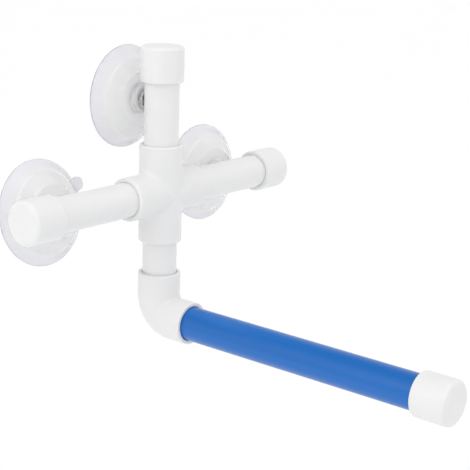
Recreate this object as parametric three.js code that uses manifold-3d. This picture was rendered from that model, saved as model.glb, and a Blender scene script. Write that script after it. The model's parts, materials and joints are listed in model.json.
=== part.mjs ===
// A perch made of 20 mm PVC pipe that three clear suction cups hold to a wall.
//
// A cross fitting carries a left, a right and a top arm. Each arm is a capped pipe with a
// suction cup bolted through its back wall. Below the cross, a short nipple holds an elbow,
// and the elbow holds the blue perch pipe, which stands straight out from the wall.
//
// Units are millimetres and +Z is up. The origin is on the wall, behind the middle of the
// cross. -Y points away from the wall, and +X points right for someone who faces the wall.

import * as THREE from 'three';
import { mergeVertices } from 'three/addons/utils/BufferGeometryUtils.js';
import Module from 'manifold-3d';

// ---------------------------------------------------------------- driving dimensions

const CLEARANCE = 0.3; // left open between neighbours, which touch on the real object
const WALL_TO_AXIS = 28; // from the wall to the middle of every arm pipe

const PIPE = { radius: 10, bore: 8 };

const FITTING = {
  radius: 12.5,
  socketRadius: PIPE.radius + CLEARANCE,
  socketDepth: 15.5,
  insertion: 15, // how far a pipe goes into a socket
  mouthChamfer: 0.6,
};

const CROSS_REACH = 28.5; // middle of the cross to each socket mouth
const ELBOW_REACH = 26.5; // corner of the elbow's centreline to each socket mouth
const ELBOW_BEND_RADIUS = 13; // of the centreline

const CAP = { length: 20.5, socketDepth: 17, insertion: 16.5, edgeRadius: 2.3 };

// Bare pipe between two fittings, or between a fitting and a cap.
const SHOWN = { top: 36, side: 56.5, drop: 19, perch: 156 };

// Along each stud, distances are measured from the middle of the arm pipe to the wall.
const STUD = { radius: 3, tip: 0.5, headRadius: 5, headFront: 15.6, headBack: 17.6 };
const HEX_NUT = { acrossFlats: 10, thickness: 5, back: 5.9 };
const LOCK_NUT = { radius: 6, front: PIPE.radius + CLEARANCE, thickness: 2.3 };
const STUD_HOLE_RADIUS = STUD.radius + CLEARANCE;

const CUP = {
  lipRadius: 30,
  lipWidth: 2, // the flat ring that touches the wall
  lipThickness: 0.8, // at the outer edge
  neckRadius: 8,
  neckRounding: 0.6,
  neckFront: LOCK_NUT.front + LOCK_NUT.thickness + CLEARANCE,
  neckBack: 15.2,
  frontSteps: [[15.4, 15.9], [17, 17.5], [22.6, 20.9], [23.4, 22]], // two low steps down the bell
  floor: 19.4, // the deepest point of the hollow behind the cup
  hollowPull: [21, 19], // draws the hollow into its curve
};
const TAB = { width: 8, reach: 36.4, root: 27, thickness: 1.3, liftOff: 0.4 };

// swing lays an arm out from the cross, and turn is its rest angle in its socket. The arms
// aren't quite square to the wall, because each is pushed into its socket by hand. cupAt is
// the distance from the middle of the cross to the stud. cupTurn points the cup's pull tab.
const ARMS = [
  { name: 'left', swing: -90, turn: 10.9, shown: SHOWN.side, cupAt: 68, cupTurn: 68 },
  { name: 'right', swing: 90, turn: -5.1, shown: SHOWN.side, cupAt: 68, cupTurn: -82 },
  { name: 'top', swing: 0, turn: 1.9, shown: SHOWN.top, cupAt: 53, cupTurn: -22 },
];

const SIDES = { fitting: 40, pipe: 40, cup: 48, nut: 24, stud: 16 };
const BELL_STEPS = 6; // straight pieces in the curve of a cup's hollow
const ELBOW_STEPS = 24; // rings along the elbow
const OVERSHOOT = 1; // how far a cutting solid runs past the face that it cuts

// ---------------------------------------------------------------- materials

const whitePvc = new THREE.MeshStandardMaterial({ color: 0xf1f1ef, roughness: 0.38, metalness: 0 });
const bluePvc = new THREE.MeshStandardMaterial({ color: 0x2360b4, roughness: 0.4, metalness: 0 });
const steel = new THREE.MeshStandardMaterial({ color: 0xb4b7ba, roughness: 0.3, metalness: 1 });
const clearPvc = new THREE.MeshStandardMaterial({
  color: 0xe9edf2,
  roughness: 0.12,
  metalness: 0,
  transparent: true,
  opacity: 0.4,
});

// ---------------------------------------------------------------- solids

const wasm = await Module();
wasm.setup();

const degrees = THREE.MathUtils.degToRad;

/** Drops the triangles that lost an edge when their corners were merged. */
function withoutSlivers(index) {
  const kept = [];
  for (let i = 0; i < index.length; i += 3) {
    const [a, b, c] = index.slice(i, i + 3);
    if (a !== b && b !== c && c !== a) kept.push(a, b, c);
  }
  return Uint32Array.from(kept);
}

/** A three.js geometry as a solid that can be joined and cut. */
function toSolid(geometry) {
  const bare = geometry.clone();
  bare.deleteAttribute('normal');
  bare.deleteAttribute('uv');
  const merged = mergeVertices(bare);
  const mesh = new wasm.Mesh({
    numProp: 3,
    vertProperties: merged.attributes.position.array,
    triVerts: withoutSlivers(merged.index.array),
  });
  return new wasm.Manifold(mesh);
}

/** A joined or cut solid as a three.js geometry. */
function toGeometry(solid) {
  const mesh = solid.getMesh();
  const geometry = new THREE.BufferGeometry();
  geometry.setAttribute('position', new THREE.BufferAttribute(mesh.vertProperties, 3));
  geometry.setIndex(new THREE.BufferAttribute(mesh.triVerts, 1));
  geometry.computeVertexNormals();
  return geometry;
}

/** Turns a profile of [radius, height] points round the Z axis. */
function turned(profile, sides) {
  const points = profile.map(([radius, height]) => new THREE.Vector2(radius, height));
  return new THREE.LatheGeometry(points, sides).rotateX(Math.PI / 2);
}

/** The points of a quarter round in a profile, both ends included. */
function rounding(centre, radius, fromDegrees, toDegrees, steps) {
  return Array.from({ length: steps + 1 }, (_, i) => {
    const angle = degrees(fromDegrees + ((toDegrees - fromDegrees) * i) / steps);
    return [centre[0] + radius * Math.cos(angle), centre[1] + radius * Math.sin(angle)];
  });
}

/** A plain round bar from one height to another. */
function bar(radius, from, to, sides) {
  return turned([[0, from], [radius, from], [radius, to], [0, to]], sides);
}

/** Lays something made along +Z along the stud, so that it points at the wall. */
function alongStud(geometry) {
  return geometry.rotateX(-Math.PI / 2);
}

// ---------------------------------------------------------------- pipes and caps

/** A plain pipe from one height to another. */
function pipe(from, to) {
  const profile = [
    [PIPE.bore, from],
    [PIPE.radius, from],
    [PIPE.radius, to],
    [PIPE.bore, to],
    [PIPE.bore, from],
  ];
  return turned(profile, SIDES.pipe);
}

/** An arm's pipe, with the stud's hole through its back wall. */
function drilledPipe(from, to, holeAt) {
  const drill = alongStud(bar(STUD_HOLE_RADIUS, 0, PIPE.radius + OVERSHOOT, SIDES.stud));
  drill.translate(0, 0, holeAt);
  return toGeometry(toSolid(pipe(from, to)).subtract(toSolid(drill)));
}

/** An end cap with its mouth at height 0 and its rounded end up. */
function cap() {
  const { radius, socketRadius, mouthChamfer } = FITTING;
  const { length, socketDepth, edgeRadius } = CAP;
  const edgeCentre = [radius - edgeRadius, length - edgeRadius];
  const profile = [
    [0, socketDepth],
    [socketRadius, socketDepth],
    [socketRadius, mouthChamfer],
    [socketRadius + mouthChamfer, 0],
    [radius - mouthChamfer, 0],
    [radius, mouthChamfer],
    ...rounding(edgeCentre, edgeRadius, 0, 90, 4),
    [0, length],
  ];
  return turned(profile, SIDES.fitting);
}

// ---------------------------------------------------------------- fittings

/** The outline of a socket's outside, from the side of the fitting to its mouth. */
function socketOutside(reach) {
  const { radius, mouthChamfer } = FITTING;
  return [
    [radius, reach - mouthChamfer],
    [radius - mouthChamfer, reach],
    [0, reach],
  ];
}

/** The outline of a socket's hollow, from the bore behind it to its flared mouth. */
function socketInside(reach) {
  const { socketRadius, socketDepth, mouthChamfer } = FITTING;
  const flare = socketRadius + mouthChamfer;
  return [
    [PIPE.bore, reach - socketDepth],
    [socketRadius, reach - socketDepth],
    [socketRadius, reach - mouthChamfer],
    [flare, reach],
    [flare, reach + OVERSHOOT],
    [0, reach + OVERSHOOT],
  ];
}

/** A straight run along Z with the same socket outline at both ends. */
function doubleEnded(outline) {
  const lowerEnd = outline.map(([radius, height]) => [radius, -height]).reverse();
  return turned([...lowerEnd, ...outline], SIDES.fitting);
}

/** The four-way fitting that the three arms and the nipple are pushed into. */
function crossFitting() {
  const across = (outline) => toSolid(doubleEnded(outline).rotateY(Math.PI / 2));
  const upright = (outline) => toSolid(doubleEnded(outline));
  const outside = socketOutside(CROSS_REACH);
  const inside = socketInside(CROSS_REACH);
  const body = upright(outside).add(across(outside));
  const hollow = upright(inside).add(across(inside));
  return toGeometry(body.subtract(hollow));
}

/** The elbow's centreline: down one leg, round a quarter circle and out of the other leg. */
class ElbowPath extends THREE.Curve {
  getPoint(t, target = new THREE.Vector3()) {
    const bend = ELBOW_BEND_RADIUS;
    const leg = ELBOW_REACH - bend;
    const arc = (bend * Math.PI) / 2;
    const travelled = t * (2 * leg + arc);
    if (travelled < leg) return target.set(0, 0, ELBOW_REACH - travelled);
    if (travelled > leg + arc) return target.set(0, leg + arc - bend - travelled, 0);
    const angle = (travelled - leg) / bend;
    return target.set(0, bend * (Math.cos(angle) - 1), bend * (1 - Math.sin(angle)));
  }
}

/** A round bar that follows the elbow's centreline from mouth to mouth. */
function alongElbow(radius) {
  const section = new THREE.Shape().absarc(0, 0, radius, 0, 2 * Math.PI);
  const sweep = new THREE.ExtrudeGeometry(section, {
    steps: ELBOW_STEPS,
    curveSegments: SIDES.fitting / 2,
    extrudePath: new ElbowPath(),
  });
  return toSolid(sweep);
}

/** The elbow, with its corner at the origin, one mouth up and one mouth away from the wall. */
function elbow() {
  const floor = [0, ELBOW_REACH - FITTING.socketDepth];
  const socket = turned([floor, ...socketInside(ELBOW_REACH)], SIDES.fitting);
  const hollow = alongElbow(PIPE.bore)
    .add(toSolid(socket))
    .add(toSolid(socket.clone().rotateX(Math.PI / 2)));
  return toGeometry(alongElbow(FITTING.radius).subtract(hollow));
}

// ---------------------------------------------------------------- suction cup hardware

/** The stud, with the round head that the cup's neck is moulded over. */
function stud() {
  const { radius, tip, headRadius, headFront, headBack } = STUD;
  const chamfer = 0.5;
  const profile = [
    [0, tip],
    [radius - chamfer, tip],
    [radius, tip + chamfer],
    [radius, headFront],
    [headRadius, headFront],
    [headRadius, headBack],
    [0, headBack],
  ];
  return alongStud(turned(profile, SIDES.stud));
}

/** The knurled nut that pulls the cup up against the outside of the pipe. */
function lockNut() {
  const { radius, front, thickness } = LOCK_NUT;
  const back = front + thickness;
  const chamfer = 0.4;
  const profile = [
    [STUD_HOLE_RADIUS, front],
    [radius - chamfer, front],
    [radius, front + chamfer],
    [radius, back - chamfer],
    [radius - chamfer, back],
    [STUD_HOLE_RADIUS, back],
    [STUD_HOLE_RADIUS, front],
  ];
  return alongStud(turned(profile, SIDES.nut));
}

/** The hexagon nut inside the pipe, with two of its flats along the pipe. */
function hexNut() {
  const { acrossFlats, thickness, back } = HEX_NUT;
  const corner = acrossFlats / Math.sqrt(3);
  const corners = [30, 90, 150, 210, 270, 330].map(degrees);
  const points = corners.map((a) => new THREE.Vector2(corner * Math.cos(a), corner * Math.sin(a)));
  const outline = new THREE.Shape(points);
  outline.holes.push(new THREE.Path().absarc(0, 0, STUD_HOLE_RADIUS, 0, 2 * Math.PI, true));
  const body = new THREE.ExtrudeGeometry(outline, {
    depth: thickness,
    bevelEnabled: false,
    curveSegments: SIDES.stud / 2,
  });
  return alongStud(body.translate(0, 0, back - thickness));
}

/** The points of a curve in a profile, bent by one pulling point. */
function curved(start, pull, end) {
  const corners = [start, pull, end].map(([radius, height]) => new THREE.Vector2(radius, height));
  return new THREE.QuadraticBezierCurve(...corners).getPoints(BELL_STEPS).map(({ x, y }) => [x, y]);
}

/** The front of the cup from its neck to its lip. */
function cupFront() {
  const { lipRadius, lipThickness, neckRadius, neckRounding, neckFront, neckBack, frontSteps } = CUP;
  const neckEdge = [neckRadius - neckRounding, neckFront + neckRounding];
  return [
    ...rounding(neckEdge, neckRounding, -90, 0, 2),
    [neckRadius, neckBack],
    ...frontSteps,
    [lipRadius - lipThickness / 2, WALL_TO_AXIS - lipThickness],
    [lipRadius, WALL_TO_AXIS - lipThickness / 2],
  ];
}

/** The back of the cup: the flat ring on the wall, then the hollow up to its middle. */
function cupBack() {
  const ring = [CUP.lipRadius - CUP.lipWidth, WALL_TO_AXIS];
  return [
    [CUP.lipRadius, WALL_TO_AXIS],
    ...curved(ring, CUP.hollowPull, [0, CUP.floor]),
  ];
}

/** The tab that peels the cup off the wall, pointing along +X from the middle of the cup. */
function pullTab() {
  const { width, reach, root, thickness, liftOff } = TAB;
  const half = width / 2;
  const outline = new THREE.Shape()
    .moveTo(root, -half)
    .lineTo(reach - half, -half)
    .absarc(reach - half, 0, half, -Math.PI / 2, Math.PI / 2)
    .lineTo(root, half)
    .closePath();
  const body = new THREE.ExtrudeGeometry(outline, {
    depth: thickness,
    bevelEnabled: false,
    curveSegments: 6,
  });
  return body.translate(0, 0, WALL_TO_AXIS - liftOff - thickness);
}

/** One suction cup, made round the stud's axis with a pocket for the stud's head. */
function suctionCup() {
  const pocketRadius = STUD.headRadius + CLEARANCE;
  const pocketFront = STUD.headFront - CLEARANCE;
  const pocketBack = STUD.headBack + CLEARANCE;
  const profile = [
    [0, pocketBack],
    [pocketRadius, pocketBack],
    [pocketRadius, pocketFront],
    [STUD_HOLE_RADIUS, pocketFront],
    [STUD_HOLE_RADIUS, CUP.neckFront],
    ...cupFront(),
    ...cupBack(),
  ];
  const bell = toSolid(turned(profile, SIDES.cup));
  return alongStud(toGeometry(bell.add(toSolid(pullTab()))));
}

// ---------------------------------------------------------------- assembly

function named(name, geometry, material) {
  const mesh = new THREE.Mesh(geometry, material);
  mesh.name = name;
  return mesh;
}

/** A cap pushed onto the free end of a pipe, with its mouth at the given height. */
function placedCap(name, mouthAt) {
  const mesh = named(name, cap(), whitePvc);
  mesh.position.z = mouthAt;
  return mesh;
}

/** One arm along +Z from the middle of the cross, with its stud pointing along +Y. */
function arm({ name, swing, turn, shown, cupAt, cupTurn }) {
  const pipeFrom = CROSS_REACH - FITTING.insertion;
  const capMouth = CROSS_REACH + shown;
  const pipeTo = capMouth + CAP.insertion;
  const hardware = new THREE.Group();
  hardware.position.z = cupAt;
  const cup = named(`${name}_suction_cup`, suctionCup(), clearPvc);
  cup.rotation.y = degrees(cupTurn);
  hardware.add(
    cup,
    named(`${name}_stud`, stud(), steel),
    named(`${name}_lock_nut`, lockNut(), steel),
    named(`${name}_hex_nut`, hexNut(), steel),
  );
  const group = new THREE.Group();
  group.add(
    named(`${name}_pipe`, drilledPipe(pipeFrom, pipeTo, cupAt), whitePvc),
    placedCap(`${name}_cap`, capMouth),
    hardware,
  );
  group.rotation.set(0, degrees(swing), degrees(turn));
  return group;
}

/** The short pipe that hangs the elbow below the cross. */
function dropNipple() {
  const top = -CROSS_REACH + FITTING.insertion;
  const bottom = -CROSS_REACH - SHOWN.drop - FITTING.insertion;
  return named('drop_nipple', pipe(bottom, top), whitePvc);
}

/** The elbow and the bar that it carries, with the elbow's corner at the group's origin. */
function perch() {
  const capMouth = ELBOW_REACH + SHOWN.perch;
  const outward = new THREE.Group();
  outward.add(
    named('perch_pipe', pipe(ELBOW_REACH - FITTING.insertion, capMouth + CAP.insertion), bluePvc),
    placedCap('perch_cap', capMouth),
  );
  outward.rotation.x = Math.PI / 2;
  const group = new THREE.Group();
  group.add(named('elbow', elbow(), whitePvc), outward);
  group.position.z = -CROSS_REACH - SHOWN.drop - ELBOW_REACH;
  return group;
}

const model = new THREE.Group();
model.position.y = -WALL_TO_AXIS;
model.add(
  named('cross_fitting', crossFitting(), whitePvc),
  dropNipple(),
  perch(),
  ...ARMS.map(arm),
);

export default model;
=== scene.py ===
"""Looks for the suction cup perch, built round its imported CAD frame.

Every mesh is drawn in millimetres along its own +Z. On an arm that is outward, with +Y to
the wall. A stud, its nuts and its cup are then laid over, so that their +Z runs to the wall.
"""

import json
import math

import bmesh
import bpy
import numpy as np
from mathutils import Matrix, Vector


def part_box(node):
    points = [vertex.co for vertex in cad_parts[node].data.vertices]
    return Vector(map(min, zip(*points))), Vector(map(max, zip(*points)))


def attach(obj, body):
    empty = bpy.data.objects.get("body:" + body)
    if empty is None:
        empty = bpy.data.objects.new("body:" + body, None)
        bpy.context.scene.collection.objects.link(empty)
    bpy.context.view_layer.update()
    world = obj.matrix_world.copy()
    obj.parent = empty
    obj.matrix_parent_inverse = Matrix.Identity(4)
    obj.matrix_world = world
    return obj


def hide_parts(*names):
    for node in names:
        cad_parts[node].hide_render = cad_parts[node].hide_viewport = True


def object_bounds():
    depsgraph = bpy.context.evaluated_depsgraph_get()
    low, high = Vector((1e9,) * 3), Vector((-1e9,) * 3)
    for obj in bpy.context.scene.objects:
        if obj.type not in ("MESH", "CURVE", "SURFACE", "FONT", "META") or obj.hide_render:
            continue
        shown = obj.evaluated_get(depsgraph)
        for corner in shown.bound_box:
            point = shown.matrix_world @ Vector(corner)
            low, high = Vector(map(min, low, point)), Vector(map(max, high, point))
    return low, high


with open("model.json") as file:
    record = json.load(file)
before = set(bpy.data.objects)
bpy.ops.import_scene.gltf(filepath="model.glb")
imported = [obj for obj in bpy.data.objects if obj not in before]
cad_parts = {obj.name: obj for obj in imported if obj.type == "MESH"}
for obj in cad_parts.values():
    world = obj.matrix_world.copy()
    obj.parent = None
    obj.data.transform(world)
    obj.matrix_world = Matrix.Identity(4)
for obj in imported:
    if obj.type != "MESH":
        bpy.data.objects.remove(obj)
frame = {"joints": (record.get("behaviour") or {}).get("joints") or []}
cad_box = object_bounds()
joints = {joint["name"]: joint for joint in frame["joints"]}

MM = 0.001

# Pipes and fittings, in millimetres.
WALL_TO_AXIS = 28
PIPE_RADIUS = 10
PIPE_BORE = 8
PIPE_EDGE = 0.25
FITTING_RADIUS = 12.5
SOCKET_RADIUS = 10.13
SOCKET_DEPTH = 15.5
SOCKET_FLOOR_EDGE = 0.4
INSERTION = 15
MOUTH_OUTER_EDGE = 0.9
MOUTH_INNER_EDGE = 0.25
CROSS_REACH = 28.5
CREASE_SOFTNESS = 4
CREASE_END = 21  # how far from the middle of the cross its crease is drawn
ELBOW_SOCKET_RADIUS = 10.3
ELBOW_REACH = 26.5
ELBOW_BEND = 13
CAP_LENGTH = 20.5
CAP_SOCKET_DEPTH = 17
CAP_INSERTION = 16.5
CAP_EDGE = 2.3

# The stud and its nuts, in millimetres. Fronts, backs and ends are measured from the pipe's
# axis towards the wall.
STUD_RADIUS = 3
STUD_HOLE = 3.3
STUD_TIP = 0.5
STUD_TIP_RADIUS = 2.2
STUD_HEAD_RADIUS = 5
STUD_HEAD_FRONT = 15.6
STUD_HEAD_BACK = 17.6
THREAD_START = 1
THREAD_END = 15
THREAD_DEPTH = 0.55
LOCK_NUT_RADIUS = 6
LOCK_NUT_FRONT = 10.3
LOCK_NUT_BACK = 12.6
LOCK_NUT_EDGE = 0.4
KNURL_RIDGES = 32
KNURL_DEPTH = 0.5
HEX_NUT_FLAT = 5  # from the middle to a flat
HEX_NUT_CORNER = 5.77
HEX_NUT_FRONT = 0.9
HEX_NUT_BACK = 5.9
HEX_NUT_CHAMFER = 0.45

# The suction cup, in millimetres, with heights measured as on the stud. The steps are
# (radius, height, rounding), and the hollow's pulling point is (radius, height).
NECK_RADIUS = 8
NECK_FRONT = 12.9
NECK_BACK = 15.2
POCKET_RADIUS = 5.3
POCKET_FRONT = 15.3
POCKET_BACK = 17.9
CUP_STEPS = [(15.4, 15.9, 0.5), (17, 17.5, 1.6), (22.6, 20.9, 0.4), (23.4, 22, 1)]
HOLLOW_PULL = (21, 19)
HOLLOW_FLOOR = 19.4
LIP_RADIUS = 30
LIP_START = 28
LIP_START_FRONT = 25.9
LIP_THICKNESS = 0.8
TAB_WIDTH = 8
TAB_REACH = 35.6  # from the middle of the cup to the tab's tip
TAB_FILLET = 1.2
TAB_THICKENING = 0.9
TAB_LIFT = 0.4

# How finely curves are drawn.
SIDES = 96
LOCK_NUT_SIDES = 240
HEX_NUT_SIDES = 144
LIP_SIDES = 140
ROUNDING_STEPS = 5
CREASE_ROWS = 14
BEND_STEPS = 24
HOLLOW_STEPS = 16
THREAD_ROWS_PER_TURN = 8

# The studio's even brightness, and its brighter panels as (direction, gain, tightness).
STUDIO_LEVEL = 0.93
STUDIO_PANELS = [
    ((-0.70, 0.61, 0.37), 0.4, 24),
    ((0.0, 0.64, 0.75), -0.95, 8),
    ((-0.2, 0.0, 1), 1.15, 8),
]

# The key lamp and the floor, in metres and watts.
KEY_PLACE = (-0.70, 0.0, 0.40)
KEY_SIZE = 0.5
KEY_POWER = 0.62
FLOOR_DROP = 0.22
FLOOR_REACH = 30

# The camera's place in metres, its turns in degrees and its lens in millimetres.
CAMERA_PLACE = (-0.55484, -0.53890, 0.17790)
CAMERA_YAW = 50.70
CAMERA_PITCH = 15.03
CAMERA_ROLL = -1.74
CAMERA_LENS = 102.2
CAMERA_FAR_CLIP = 100  # metres, past the far edge of the floor


# ---------------------------------------------------------------- outlines and meshes

def round_angles(count):
    """Evenly spaced directions right round a circle."""
    return [2 * math.pi * i / count for i in range(count)]


def rounded(corners, closed=True):
    """The points of an outline whose corners are (radius, height, rounding)."""
    points = []
    last = len(corners) - 1
    for i, (radius, height, rounding) in enumerate(corners):
        corner = Vector((radius, height))
        if rounding == 0 or (not closed and i in (0, last)):
            points.append(corner)
            continue
        back = (Vector(corners[i - 1][:2]) - corner).normalized()
        ahead = (Vector(corners[(i + 1) % len(corners)][:2]) - corner).normalized()
        half = back.angle(ahead) / 2
        run = rounding / math.tan(half)
        centre = corner + (back + ahead).normalized() * (rounding / math.sin(half))
        start = (corner + back * run - centre).normalized()
        end = (corner + ahead * run - centre).normalized()
        for step in range(ROUNDING_STEPS + 1):
            points.append(centre + start.slerp(end, step / ROUNDING_STEPS) * rounding)
    return points


def bridge(mesh, lower, upper):
    """Joins two rings of corners, either of which may be a single point on the axis."""
    count = max(len(lower), len(upper))
    for i in range(count):
        j = (i + 1) % count
        corners = [
            lower[i % len(lower)],
            lower[j % len(lower)],
            upper[j % len(upper)],
            upper[i % len(upper)],
        ]
        face = list(dict.fromkeys(corners))
        if len(face) > 2:
            mesh.faces.new(face)


def turned(outline, angles=None, shape=None):
    """A solid made by turning an outline of (radius, height) points round the Z axis.

    shape(radius, height, angle) may move each point to another radius and height.
    """
    angles = angles or round_angles(SIDES)
    mesh = bmesh.new()
    rings = []
    for radius, height in outline:
        if radius < 1e-6:
            rings.append([mesh.verts.new((0, 0, height))])
            continue
        ring = []
        for angle in angles:
            r, h = shape(radius, height, angle) if shape else (radius, height)
            ring.append(mesh.verts.new((r * math.cos(angle), r * math.sin(angle), h)))
        rings.append(ring)
    for lower, upper in zip(rings, rings[1:]):
        bridge(mesh, lower, upper)
    if outline[0][0] > 1e-6:
        bridge(mesh, rings[-1], rings[0])
    return mesh


def piece(name, mesh, place, body, material):
    """Turns a mesh in millimetres into a shown piece that stands for its CAD node."""
    bmesh.ops.recalc_face_normals(mesh, faces=mesh.faces)
    bmesh.ops.scale(mesh, vec=(MM, MM, MM), verts=mesh.verts)
    data = bpy.data.meshes.new(name)
    mesh.to_mesh(data)
    mesh.free()
    data.shade_smooth()
    data.materials.append(material)
    thing = bpy.data.objects.new(f"{name}_moulded", data)
    bpy.context.scene.collection.objects.link(thing)
    thing.matrix_world = place
    weighted = thing.modifiers.new("even_shading", "WEIGHTED_NORMAL")
    weighted.keep_sharp = True
    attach(thing, body)
    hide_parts(name)


# ---------------------------------------------------------------- pipes and caps

def pipe(start, end):
    """A plain pipe with slightly broken edges."""
    return turned(rounded([
        (PIPE_BORE, start, PIPE_EDGE),
        (PIPE_RADIUS, start, PIPE_EDGE),
        (PIPE_RADIUS, end, PIPE_EDGE),
        (PIPE_BORE, end, PIPE_EDGE),
    ]))


def drilled(blank, stud_at):
    """Cuts the stud's hole through the back wall of an arm's pipe."""
    drill_start, drill_end = 4, 14
    drill = turned([(0, drill_start), (STUD_HOLE, drill_start), (STUD_HOLE, drill_end), (0, drill_end)])
    turn = Matrix.Translation((0, 0, stud_at)) @ Matrix.Rotation(-math.pi / 2, 4, "X")
    bmesh.ops.transform(drill, matrix=turn, verts=drill.verts)
    objects = []
    for name, mesh in (("blank", blank), ("drill", drill)):
        bmesh.ops.recalc_face_normals(mesh, faces=mesh.faces)
        data = bpy.data.meshes.new(name)
        mesh.to_mesh(data)
        mesh.free()
        thing = bpy.data.objects.new(name, data)
        bpy.context.scene.collection.objects.link(thing)
        objects.append(thing)
    cut = objects[0].modifiers.new("cut", "BOOLEAN")
    cut.object = objects[1]
    cut.operation = "DIFFERENCE"
    cut.solver = "EXACT"
    bpy.context.view_layer.update()
    result = bmesh.new()
    result.from_object(objects[0], bpy.context.evaluated_depsgraph_get())
    for thing in objects:
        data = thing.data
        bpy.data.objects.remove(thing)
        bpy.data.meshes.remove(data)
    return result


def cap():
    """An end cap with its mouth at height 0 and its rounded end up."""
    return turned(rounded([
        (0, CAP_SOCKET_DEPTH, 0),
        (SOCKET_RADIUS, CAP_SOCKET_DEPTH, SOCKET_FLOOR_EDGE),
        (SOCKET_RADIUS, 0, MOUTH_INNER_EDGE),
        (FITTING_RADIUS, 0, MOUTH_OUTER_EDGE),
        (FITTING_RADIUS, CAP_LENGTH, CAP_EDGE),
        (0, CAP_LENGTH, 0),
    ], closed=False))


# ---------------------------------------------------------------- fittings

def socket_outline(reach, start, inner):
    """The outline of one socket: up its outside from start, over its mouth, and down inside."""
    return rounded([
        (FITTING_RADIUS, start, 0),
        (FITTING_RADIUS, reach, MOUTH_OUTER_EDGE),
        (inner, reach, MOUTH_INNER_EDGE),
        (inner, reach - SOCKET_DEPTH, SOCKET_FLOOR_EDGE),
        (PIPE_BORE, reach - SOCKET_DEPTH, 0),
    ], closed=False)


def crossed_pipes(points):
    """How far points lie outside two crossed cylinders with a soft crease between them."""
    x, y, z = points.T
    upright = np.hypot(x, y)
    across = np.hypot(z, y)
    a = upright - FITTING_RADIUS
    b = across - FITTING_RADIUS
    softness = CREASE_SOFTNESS * (1 - y * y / (upright * across)) + 1e-9
    overlap = np.maximum(softness - np.abs(a - b), 0)
    return np.minimum(a, b) - overlap ** 2 / (4 * softness)


def eased(points):
    """Moves points near the crease out to the softened surface."""
    step = 1e-4
    for _ in range(12):
        value = crossed_pipes(points)
        slope = np.stack([
            (crossed_pipes(points + step * axis) - crossed_pipes(points - step * axis)) / (2 * step)
            for axis in np.eye(3)
        ], axis=1)
        points = points - slope * (value / (slope ** 2).sum(1))[:, None]
    return points


def cross():
    """The four-way fitting: four legs that meet along the diagonals of the cross."""
    angles = np.array(round_angles(SIDES))
    ring = np.stack([np.cos(angles), np.sin(angles)], axis=1)
    slant = np.abs(ring[:, 0])
    rows = []
    for share in np.linspace(0, 1, CREASE_ROWS) ** 1.5:
        crease = FITTING_RADIUS * slant
        height = crease + (CREASE_END - crease) * share
        rows.append(eased(np.column_stack([ring * FITTING_RADIUS, height])))
    for radius, height in socket_outline(CROSS_REACH, CREASE_END, SOCKET_RADIUS)[1:]:
        rows.append(np.column_stack([ring * radius, np.full(SIDES, height)]))
    rows.append(np.column_stack([ring * PIPE_BORE, PIPE_BORE * slant]))
    mesh = bmesh.new()
    for quarter in range(4):
        turn = Matrix.Rotation(quarter * math.pi / 2, 3, "Y")
        rings = [[mesh.verts.new(turn @ Vector(point)) for point in row] for row in rows]
        for lower, upper in zip(rings, rings[1:]):
            bridge(mesh, lower, upper)
    bmesh.ops.remove_doubles(mesh, verts=mesh.verts, dist=1e-3)
    return mesh


def elbow_station(travelled):
    """The place on the elbow's centreline and its direction, after so much travel."""
    leg = ELBOW_REACH - ELBOW_BEND
    arc = ELBOW_BEND * math.pi / 2
    if travelled < leg:
        return Vector((0, 0, ELBOW_REACH - travelled)), 0
    if travelled > leg + arc:
        return Vector((0, leg + arc - ELBOW_BEND - travelled, 0)), math.pi / 2
    angle = (travelled - leg) / ELBOW_BEND
    return Vector((0, ELBOW_BEND * (math.cos(angle) - 1), ELBOW_BEND * (1 - math.sin(angle)))), angle


def elbow():
    """The elbow with its corner at the origin, one mouth up and one mouth along -Y."""
    leg = ELBOW_REACH - ELBOW_BEND
    arc = ELBOW_BEND * math.pi / 2
    length = 2 * leg + arc
    bend = [leg + arc * i / BEND_STEPS for i in range(BEND_STEPS + 1)]
    socket = socket_outline(ELBOW_REACH, ELBOW_BEND, ELBOW_SOCKET_RADIUS)
    mouth = [(radius, ELBOW_REACH - height) for radius, height in socket]
    first = mouth[:0:-1]
    outside = [(FITTING_RADIUS, travelled) for travelled in bend]
    second = [(radius, length - travelled) for radius, travelled in mouth[1:]]
    inside = [(PIPE_BORE, travelled) for travelled in reversed(bend)]
    mesh = bmesh.new()
    rings = []
    for radius, travelled in first + outside + second + inside:
        place, angle = elbow_station(travelled)
        sideways = Vector((0, math.cos(angle), -math.sin(angle)))
        rings.append([
            mesh.verts.new(place + radius * (math.cos(a) * Vector((1, 0, 0)) + math.sin(a) * sideways))
            for a in round_angles(SIDES)
        ])
    for lower, upper in zip(rings, rings[1:] + rings[:1]):
        bridge(mesh, lower, upper)
    return mesh


# ---------------------------------------------------------------- stud and nuts

def threaded(radius, height, angle):
    """Cuts the thread, one turn to the millimetre, into a stud's shank."""
    if radius != STUD_RADIUS or height > THREAD_END:
        return radius, height
    turn = (height - angle / (2 * math.pi)) % 1
    return radius - THREAD_DEPTH * abs(2 * turn - 1), height


def stud():
    """The threaded stud with the round head that the cup is moulded over."""
    rows = (THREAD_END - THREAD_START) * THREAD_ROWS_PER_TURN + 1
    tip = [(0, STUD_TIP), (STUD_TIP_RADIUS, STUD_TIP)]
    shank = [(STUD_RADIUS, THREAD_START + i / THREAD_ROWS_PER_TURN) for i in range(rows)]
    head = rounded([
        (STUD_RADIUS, STUD_HEAD_FRONT, 0),
        (STUD_HEAD_RADIUS, STUD_HEAD_FRONT, 0.3),
        (STUD_HEAD_RADIUS, STUD_HEAD_BACK, 0.6),
        (0, STUD_HEAD_BACK, 0),
    ], closed=False)
    return turned(tip + shank + head, shape=threaded)


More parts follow.
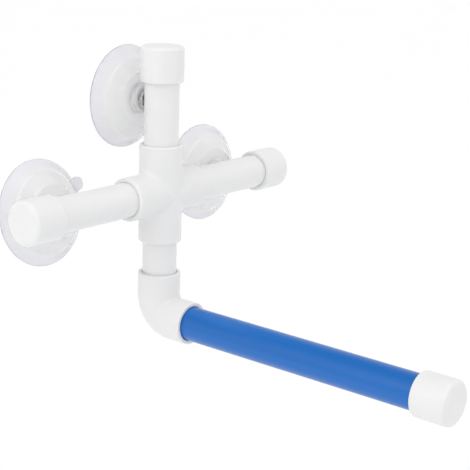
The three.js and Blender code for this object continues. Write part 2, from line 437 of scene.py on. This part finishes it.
def knurled(radius, height, angle):
    """Cuts a straight knurl into the lock nut's rim."""
    if radius < LOCK_NUT_RADIUS - LOCK_NUT_EDGE - 0.01:
        return radius, height
    ridge = abs(math.sin(KNURL_RIDGES / 2 * angle))
    return radius - KNURL_DEPTH * (1 - ridge), height


def lock_nut():
    """The thin knurled nut that pulls the cup up against the pipe."""
    return turned(rounded([
        (STUD_HOLE, LOCK_NUT_FRONT, 0.15),
        (LOCK_NUT_RADIUS, LOCK_NUT_FRONT, LOCK_NUT_EDGE),
        (LOCK_NUT_RADIUS, LOCK_NUT_BACK, LOCK_NUT_EDGE),
        (STUD_HOLE, LOCK_NUT_BACK, 0.15),
    ]), round_angles(LOCK_NUT_SIDES), knurled)


def hexagonal(radius, height, angle):
    """Presses a round blank into a hexagon with two of its flats facing along X."""
    from_flat = (angle + math.pi / 6) % (math.pi / 3) - math.pi / 6
    return min(radius, HEX_NUT_FLAT / math.cos(from_flat)), height


def hex_nut():
    """The chamfered hexagon nut inside the pipe."""
    return turned([
        (STUD_HOLE, HEX_NUT_FRONT),
        (HEX_NUT_FLAT, HEX_NUT_FRONT),
        (HEX_NUT_CORNER, HEX_NUT_FRONT + HEX_NUT_CHAMFER),
        (HEX_NUT_CORNER, HEX_NUT_BACK - HEX_NUT_CHAMFER),
        (HEX_NUT_FLAT, HEX_NUT_BACK),
        (STUD_HOLE, HEX_NUT_BACK),
    ], round_angles(HEX_NUT_SIDES), hexagonal)


# ---------------------------------------------------------------- suction cup

def tab_outline():
    """Half of the lip's outline where the pull tab leaves it, as (radius, angle) points."""
    half = TAB_WIDTH / 2
    tip = TAB_REACH - half
    points = [
        Vector((tip + half * math.cos(a), half * math.sin(a)))
        for a in np.linspace(0, math.pi / 2, 13)
    ]
    foot = math.sqrt((LIP_RADIUS + TAB_FILLET) ** 2 - (half + TAB_FILLET) ** 2)
    centre = Vector((foot, half + TAB_FILLET))
    touch = math.atan2(centre.y, centre.x)
    points += [
        centre + TAB_FILLET * Vector((math.cos(a), math.sin(a)))
        for a in np.linspace(-math.pi / 2, touch - math.pi, 7)
    ]
    return [(point.length, math.atan2(point.y, point.x)) for point in points]


def lip_reaches():
    """Directions round the cup, closer together at the tab, with the lip's reach in each."""
    tab = tab_outline()
    edge = tab[-1][1]
    rest = np.linspace(edge, 2 * math.pi - edge, LIP_SIDES)[1:-1]
    reaches = {angle: radius for radius, angle in tab}
    reaches.update({2 * math.pi - angle: radius for radius, angle in tab[1:]})
    reaches.update({angle: LIP_RADIUS for angle in rest})
    return dict(sorted(reaches.items()))


def bell(start, pull, end, steps):
    """Points of a curve in an outline, bent by one pulling point."""
    start, pull, end = Vector(start), Vector(pull), Vector(end)
    shares = [i / steps for i in range(steps + 1)]
    return [start * (1 - t) ** 2 + pull * (2 * t * (1 - t)) + end * t * t for t in shares]


def cup():
    """One suction cup round the stud's axis, with its pull tab along +X."""
    reaches = lip_reaches()

    def pulled(radius, height, angle):
        """Stretches the lip into the tab, and thickens the tab and lifts it off the wall."""
        reach = reaches[angle]
        if radius <= LIP_START or reach <= LIP_RADIUS + 0.01:
            return radius, height
        share = (radius - LIP_START) / (LIP_RADIUS - LIP_START)
        spread = LIP_START + (reach - LIP_START) * share
        if height > WALL_TO_AXIS - 0.2:
            return spread, height - TAB_LIFT * share
        return spread, height - TAB_THICKENING * share * min(1, (reach - LIP_RADIUS) / 3)

    pocket = [
        Vector((0, POCKET_BACK)),
        Vector((POCKET_RADIUS, POCKET_BACK)),
        Vector((POCKET_RADIUS, POCKET_FRONT)),
    ]
    front = rounded([
        (STUD_HOLE, POCKET_FRONT, 0),
        (STUD_HOLE, NECK_FRONT, 0.2),
        (NECK_RADIUS, NECK_FRONT, 0.6),
        (NECK_RADIUS, NECK_BACK, 0.7),
        *CUP_STEPS,
        (LIP_START, LIP_START_FRONT, 0),
        (LIP_RADIUS - 0.1, WALL_TO_AXIS - LIP_THICKNESS, 0.3),
        (LIP_RADIUS, WALL_TO_AXIS, 0.35),
        (LIP_START, WALL_TO_AXIS, 0),
    ], closed=False)
    hollow = bell((LIP_START, WALL_TO_AXIS), HOLLOW_PULL, (0, HOLLOW_FLOOR), HOLLOW_STEPS)[1:]
    return turned(pocket + front + hollow, list(reaches), pulled)


# ---------------------------------------------------------------- shader nodes

def new_material(name):
    """A node material, its node tree, and its Principled BSDF."""
    material = bpy.data.materials.new(name)
    material.use_nodes = True
    tree = material.node_tree
    return material, tree, tree.nodes["Principled BSDF"]


def noise(tree, scale, detail=4, stretch=(1, 1, 1)):
    """Noise in the piece's own frame. scale is in features per metre."""
    coordinates = tree.nodes.new("ShaderNodeTexCoord")
    mapping = tree.nodes.new("ShaderNodeMapping")
    mapping.inputs["Scale"].default_value = stretch
    tree.links.new(coordinates.outputs["Object"], mapping.inputs["Vector"])
    texture = tree.nodes.new("ShaderNodeTexNoise")
    texture.inputs["Scale"].default_value = scale
    texture.inputs["Detail"].default_value = detail
    tree.links.new(mapping.outputs["Vector"], texture.inputs["Vector"])
    return texture.outputs["Fac"]


def mapped(tree, value, low, high, given=(0.3, 0.7)):
    """Spreads a value from its given range, by default that of noise, over a new range."""
    spread = tree.nodes.new("ShaderNodeMapRange")
    spread.inputs["From Min"].default_value = given[0]
    spread.inputs["From Max"].default_value = given[1]
    spread.inputs["To Min"].default_value = low
    spread.inputs["To Max"].default_value = high
    tree.links.new(value, spread.inputs["Value"])
    return spread.outputs["Result"]


def mixed(tree, share, first, second):
    """A colour between two colours, which are tuples or other nodes' outputs."""
    mix = tree.nodes.new("ShaderNodeMix")
    mix.data_type = "RGBA"
    tree.links.new(share, mix.inputs["Factor"])
    for socket, colour in ((mix.inputs["A"], first), (mix.inputs["B"], second)):
        if isinstance(colour, tuple):
            socket.default_value = (*colour, 1)
        else:
            tree.links.new(colour, socket)
    return mix.outputs["Result"]


def bumped(tree, height, distance, strength, under=None):
    """A bump from a height value. distance is in metres."""
    bump = tree.nodes.new("ShaderNodeBump")
    bump.inputs["Distance"].default_value = distance
    bump.inputs["Strength"].default_value = strength
    tree.links.new(height, bump.inputs["Height"])
    if under:
        tree.links.new(under, bump.inputs["Normal"])
    return bump.outputs["Normal"]


def arithmetic(tree, operation, first, second):
    """One sum of two values, which are numbers or other nodes' outputs."""
    node = tree.nodes.new("ShaderNodeMath")
    node.operation = operation
    for socket, value in zip(node.inputs, (first, second)):
        if isinstance(value, (int, float)):
            socket.default_value = value
        else:
            tree.links.new(value, socket)
    return node.outputs["Value"]


def vector_step(tree, operation, vector, output, other=None):
    """One vector operation on another node's output."""
    node = tree.nodes.new("ShaderNodeVectorMath")
    node.operation = operation
    tree.links.new(vector, node.inputs[0])
    if other:
        node.inputs[1].default_value = other
    return node.outputs[output]


def edge_wear_and_highlight(tree):
    """1 on sharp outer edges and 0 on flat faces; it marks where edges are painted lighter, partly as
    wear and partly as a painted highlight.
    """
    geometry = tree.nodes.new("ShaderNodeNewGeometry")
    return mapped(tree, geometry.outputs["Pointiness"], 0, 1, (0.51, 0.58))


def distance_share(tree, near, far):
    """Rises from 0 to 1 between two distances, in metres, from the piece's own Z axis."""
    place = tree.nodes.new("ShaderNodeTexCoord").outputs["Object"]
    flat = vector_step(tree, "MULTIPLY", place, "Vector", (1, 1, 0))
    distance = vector_step(tree, "LENGTH", flat, "Value")
    return mapped(tree, distance, 0, 1, (near, far))


# ---------------------------------------------------------------- materials

def plastic(name, light, dark, worn_and_highlit, roughness, stretch):
    """Semi-gloss PVC with faint mottling, fine grain, and sharp edges painted lighter, partly as wear
    and partly as a painted edge highlight.
    """
    material, tree, shader = new_material(name)
    colour = mixed(tree, mapped(tree, noise(tree, 90, 3, stretch), 0, 1), light, dark)
    # Sharp edges are painted lighter: partly wear, partly a painted highlight where the light catches
    # them.
    colour = mixed(tree, edge_wear_and_highlight(tree), colour, worn_and_highlit)
    tree.links.new(colour, shader.inputs["Base Color"])
    gloss = mapped(tree, noise(tree, 260, 5, stretch), roughness - 0.05, roughness + 0.06)
    tree.links.new(gloss, shader.inputs["Roughness"])
    shader.inputs["IOR"].default_value = 1.42
    ripple = bumped(tree, noise(tree, 130, 2, stretch), 0.0002, 0.25)
    grain = bumped(tree, noise(tree, 2600, 3), 0.00004, 0.3, ripple)
    tree.links.new(grain, shader.inputs["Normal"])
    return material


def white_pvc():
    """White moulded PVC."""
    # The third colour is the lighter edge colour: wear and a painted edge highlight.
    light, dark, worn_and_highlit = (0.80, 0.80, 0.798), (0.78, 0.78, 0.777), (0.84, 0.84, 0.835)
    return plastic("white_pvc", light, dark, worn_and_highlit, 0.36, (1, 1, 0.5))


def blue_pvc():
    """Blue extruded PVC, streaked along the pipe."""
    # The third colour is the lighter edge colour: wear and a painted edge highlight.
    light, dark, worn_and_highlit = (0.010, 0.140, 0.51), (0.0, 0.108, 0.42), (0.02, 0.19, 0.56)
    return plastic("blue_pvc", light, dark, worn_and_highlit, 0.2, (1, 1, 0.02))


def plated_steel():
    """Bright nickel plate with fine scratches and duller patches."""
    material, tree, shader = new_material("plated_steel")
    shader.inputs["Metallic"].default_value = 1
    patches = mapped(tree, noise(tree, 500, 4), 0, 1)
    colour = mixed(tree, patches, (0.80, 0.80, 0.79), (0.45, 0.45, 0.46))
    tree.links.new(colour, shader.inputs["Base Color"])
    tree.links.new(mapped(tree, noise(tree, 1500, 4), 0.2, 0.4), shader.inputs["Roughness"])
    scratches = bumped(tree, noise(tree, 4000, 2, (1, 1, 0.1)), 0.00003, 0.4)
    tree.links.new(scratches, shader.inputs["Normal"])
    return material


def clear_pvc():
    """Clear soft PVC: milky at the neck, hazy in the middle, and blue-violet at the rim."""
    material, tree, shader = new_material("clear_soft_pvc")
    haze = mixed(tree, mapped(tree, noise(tree, 120, 3), 0, 1), (0.94, 0.94, 0.94), (0.90, 0.90, 0.90))
    tinted = mixed(tree, distance_share(tree, 0.022, 0.030), haze, (0.89, 0.89, 0.94))
    colour = mixed(tree, distance_share(tree, 0.0305, 0.032), tinted, (0.91, 0.91, 0.92))
    tree.links.new(colour, shader.inputs["Base Color"])
    clearness = mapped(tree, distance_share(tree, 0.0083, 0.0095), 0.35, 0.65, (0, 1))
    tree.links.new(clearness, shader.inputs["Transmission Weight"])
    shader.inputs["IOR"].default_value = 1.5
    tree.links.new(mapped(tree, noise(tree, 200, 4), 0.04, 0.14), shader.inputs["Roughness"])
    ripple = bumped(tree, noise(tree, 90, 2), 0.0004, 0.25)
    tree.links.new(ripple, shader.inputs["Normal"])
    absorption = tree.nodes.new("ShaderNodeVolumeAbsorption")
    absorption.inputs["Color"].default_value = (0.84, 0.84, 0.93, 1)
    absorption.inputs["Density"].default_value = 30
    output = tree.nodes["Material Output"]
    tree.links.new(absorption.outputs["Volume"], output.inputs["Volume"])
    return material


# ---------------------------------------------------------------- assembly

WHITE = white_pvc()
BLUE = blue_pvc()
STEEL = plated_steel()
CLEAR = clear_pvc()

UP = Vector((0, 0, 1))
WALLWARD = Vector((0, 1, 0))


def middle(node):
    """The middle of a CAD node's box."""
    low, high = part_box(node)
    return (low + high) / 2


def standing(origin, outward, to_wall):
    """A frame with +Z along outward and +Y along to_wall, at a place in the row frame."""
    across = to_wall.cross(outward)
    axes = Matrix((across, to_wall, outward)).transposed().to_4x4()
    return Matrix.Translation(origin) @ axes


def further(place, distance):
    """The same frame moved along its own +Z, by a distance in metres."""
    return place @ Matrix.Translation((0, 0, distance))


def arm(side, heart, outward, cap_mouth, tab_turn):
    """One arm's pipe, cap, stud, nuts and suction cup."""
    spin = joints[f"{side}_cup_spin"]
    to_wall = Vector(spin["axis"])
    place = standing(heart, outward, to_wall)
    stud_at = (Vector(spin["pos_m"]) - heart).dot(outward)
    body = f"{side}_arm"
    blank = pipe(CROSS_REACH - INSERTION, cap_mouth / MM + CAP_INSERTION)
    piece(f"{side}_pipe", drilled(blank, stud_at / MM), place, body, WHITE)
    piece(f"{side}_cap", cap(), further(place, cap_mouth), body, WHITE)
    along_stud = further(place, stud_at) @ Matrix.Rotation(-math.pi / 2, 4, "X")
    piece(f"{side}_stud", stud(), along_stud, body, STEEL)
    piece(f"{side}_lock_nut", lock_nut(), along_stud, body, STEEL)
    piece(f"{side}_hex_nut", hex_nut(), along_stud, body, STEEL)
    aimed = along_stud @ Matrix.Rotation(math.radians(tab_turn), 4, "Z")
    piece(f"{side}_suction_cup", cup(), aimed, f"{side}_cup", CLEAR)


def perch(heart):
    """The elbow, the blue bar and the bar's cap."""
    corner = Vector((heart.x, heart.y, middle("perch_pipe").z))
    piece("elbow", elbow(), standing(corner, UP, WALLWARD), "perch", WHITE)
    outward = standing(corner, -WALLWARD, UP)
    low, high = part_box("perch_pipe")
    bar = pipe((corner.y - high.y) / MM, (corner.y - low.y) / MM)
    piece("perch_pipe", bar, outward, "perch", BLUE)
    mouth = corner.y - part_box("perch_cap")[1].y
    piece("perch_cap", cap(), further(outward, mouth), "perch", WHITE)


def build():
    """Every piece of the object, each on its own body."""
    heart = middle("cross_fitting")
    level = standing(heart, UP, WALLWARD)
    piece("cross_fitting", cross(), level, "frame", WHITE)
    low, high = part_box("drop_nipple")
    nipple = pipe((low.z - heart.z) / MM, (high.z - heart.z) / MM)
    piece("drop_nipple", nipple, level, "frame", WHITE)
    side_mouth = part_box("right_cap")[0].x
    top_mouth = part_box("top_cap")[0].z - heart.z
    arm("left", heart, Vector((-1, 0, 0)), side_mouth, 68)
    arm("right", heart, Vector((1, 0, 0)), side_mouth, -82)
    arm("top", heart, UP, top_mouth, -22)
    perch(heart)


# ---------------------------------------------------------------- stage

def key_light():
    """A large soft lamp, above and to the left of the perch."""
    data = bpy.data.lights.new("key", "AREA")
    data.shape = "SQUARE"
    data.size = KEY_SIZE
    data.energy = KEY_POWER
    lamp = bpy.data.objects.new("key", data)
    lamp.location = KEY_PLACE
    toward = middle("cross_fitting") - lamp.location
    lamp.rotation_euler = toward.to_track_quat("-Z", "Y").to_euler()
    bpy.context.scene.collection.objects.link(lamp)


def floor():
    """A wide pale floor well below the perch, which hangs on its wall."""
    mesh = bmesh.new()
    bmesh.ops.create_grid(mesh, x_segments=1, y_segments=1, size=FLOOR_REACH)
    data = bpy.data.meshes.new("floor")
    mesh.to_mesh(data)
    mesh.free()
    material, tree, shader = new_material("pale_floor")
    patches = mapped(tree, noise(tree, 4, 3), 0, 1)
    pale = mixed(tree, patches, (0.985, 0.985, 0.985), (0.98, 0.98, 0.98))
    tree.links.new(pale, shader.inputs["Base Color"])
    shader.inputs["Roughness"].default_value = 0.9
    data.materials.append(material)
    thing = bpy.data.objects.new("floor", data)
    thing.location = (0, 0, cad_box[0][2] - FLOOR_DROP)
    bpy.context.scene.collection.objects.link(thing)


def studio():
    """A white studio, brighter overhead and at the back left, and dimmer high at the back."""
    world = bpy.data.worlds.new("studio")
    bpy.context.scene.world = world
    world.use_nodes = True
    tree = world.node_tree
    direction = tree.nodes.new("ShaderNodeTexCoord").outputs["Generated"]
    total = STUDIO_LEVEL
    for toward, gain, tightness in STUDIO_PANELS:
        middle_of_panel = Vector(toward).normalized()
        facing = vector_step(tree, "DOT_PRODUCT", direction, "Value", middle_of_panel)
        lit = arithmetic(tree, "POWER", arithmetic(tree, "MAXIMUM", facing, 0), tightness)
        total = arithmetic(tree, "ADD", arithmetic(tree, "MULTIPLY", lit, gain), total)
    background = tree.nodes["Background"]
    background.inputs["Color"].default_value = (1, 1, 1, 1)
    tree.links.new(total, background.inputs["Strength"])


def camera():
    """Looks down on the perch from the front left."""
    data = bpy.data.cameras.new("camera")
    data.sensor_width = 36
    data.lens = CAMERA_LENS
    data.clip_end = CAMERA_FAR_CLIP
    thing = bpy.data.objects.new("camera", data)
    thing.matrix_world = (
        Matrix.Translation(CAMERA_PLACE)
        @ Matrix.Rotation(math.radians(-CAMERA_YAW), 4, "Z")
        @ Matrix.Rotation(math.radians(90 - CAMERA_PITCH), 4, "X")
        @ Matrix.Rotation(math.radians(-CAMERA_ROLL), 4, "Z")
    )
    bpy.context.scene.collection.objects.link(thing)
    bpy.context.scene.camera = thing


build()
floor()
studio()
key_light()
camera()
bpy.context.scene.view_settings.view_transform = "Standard"
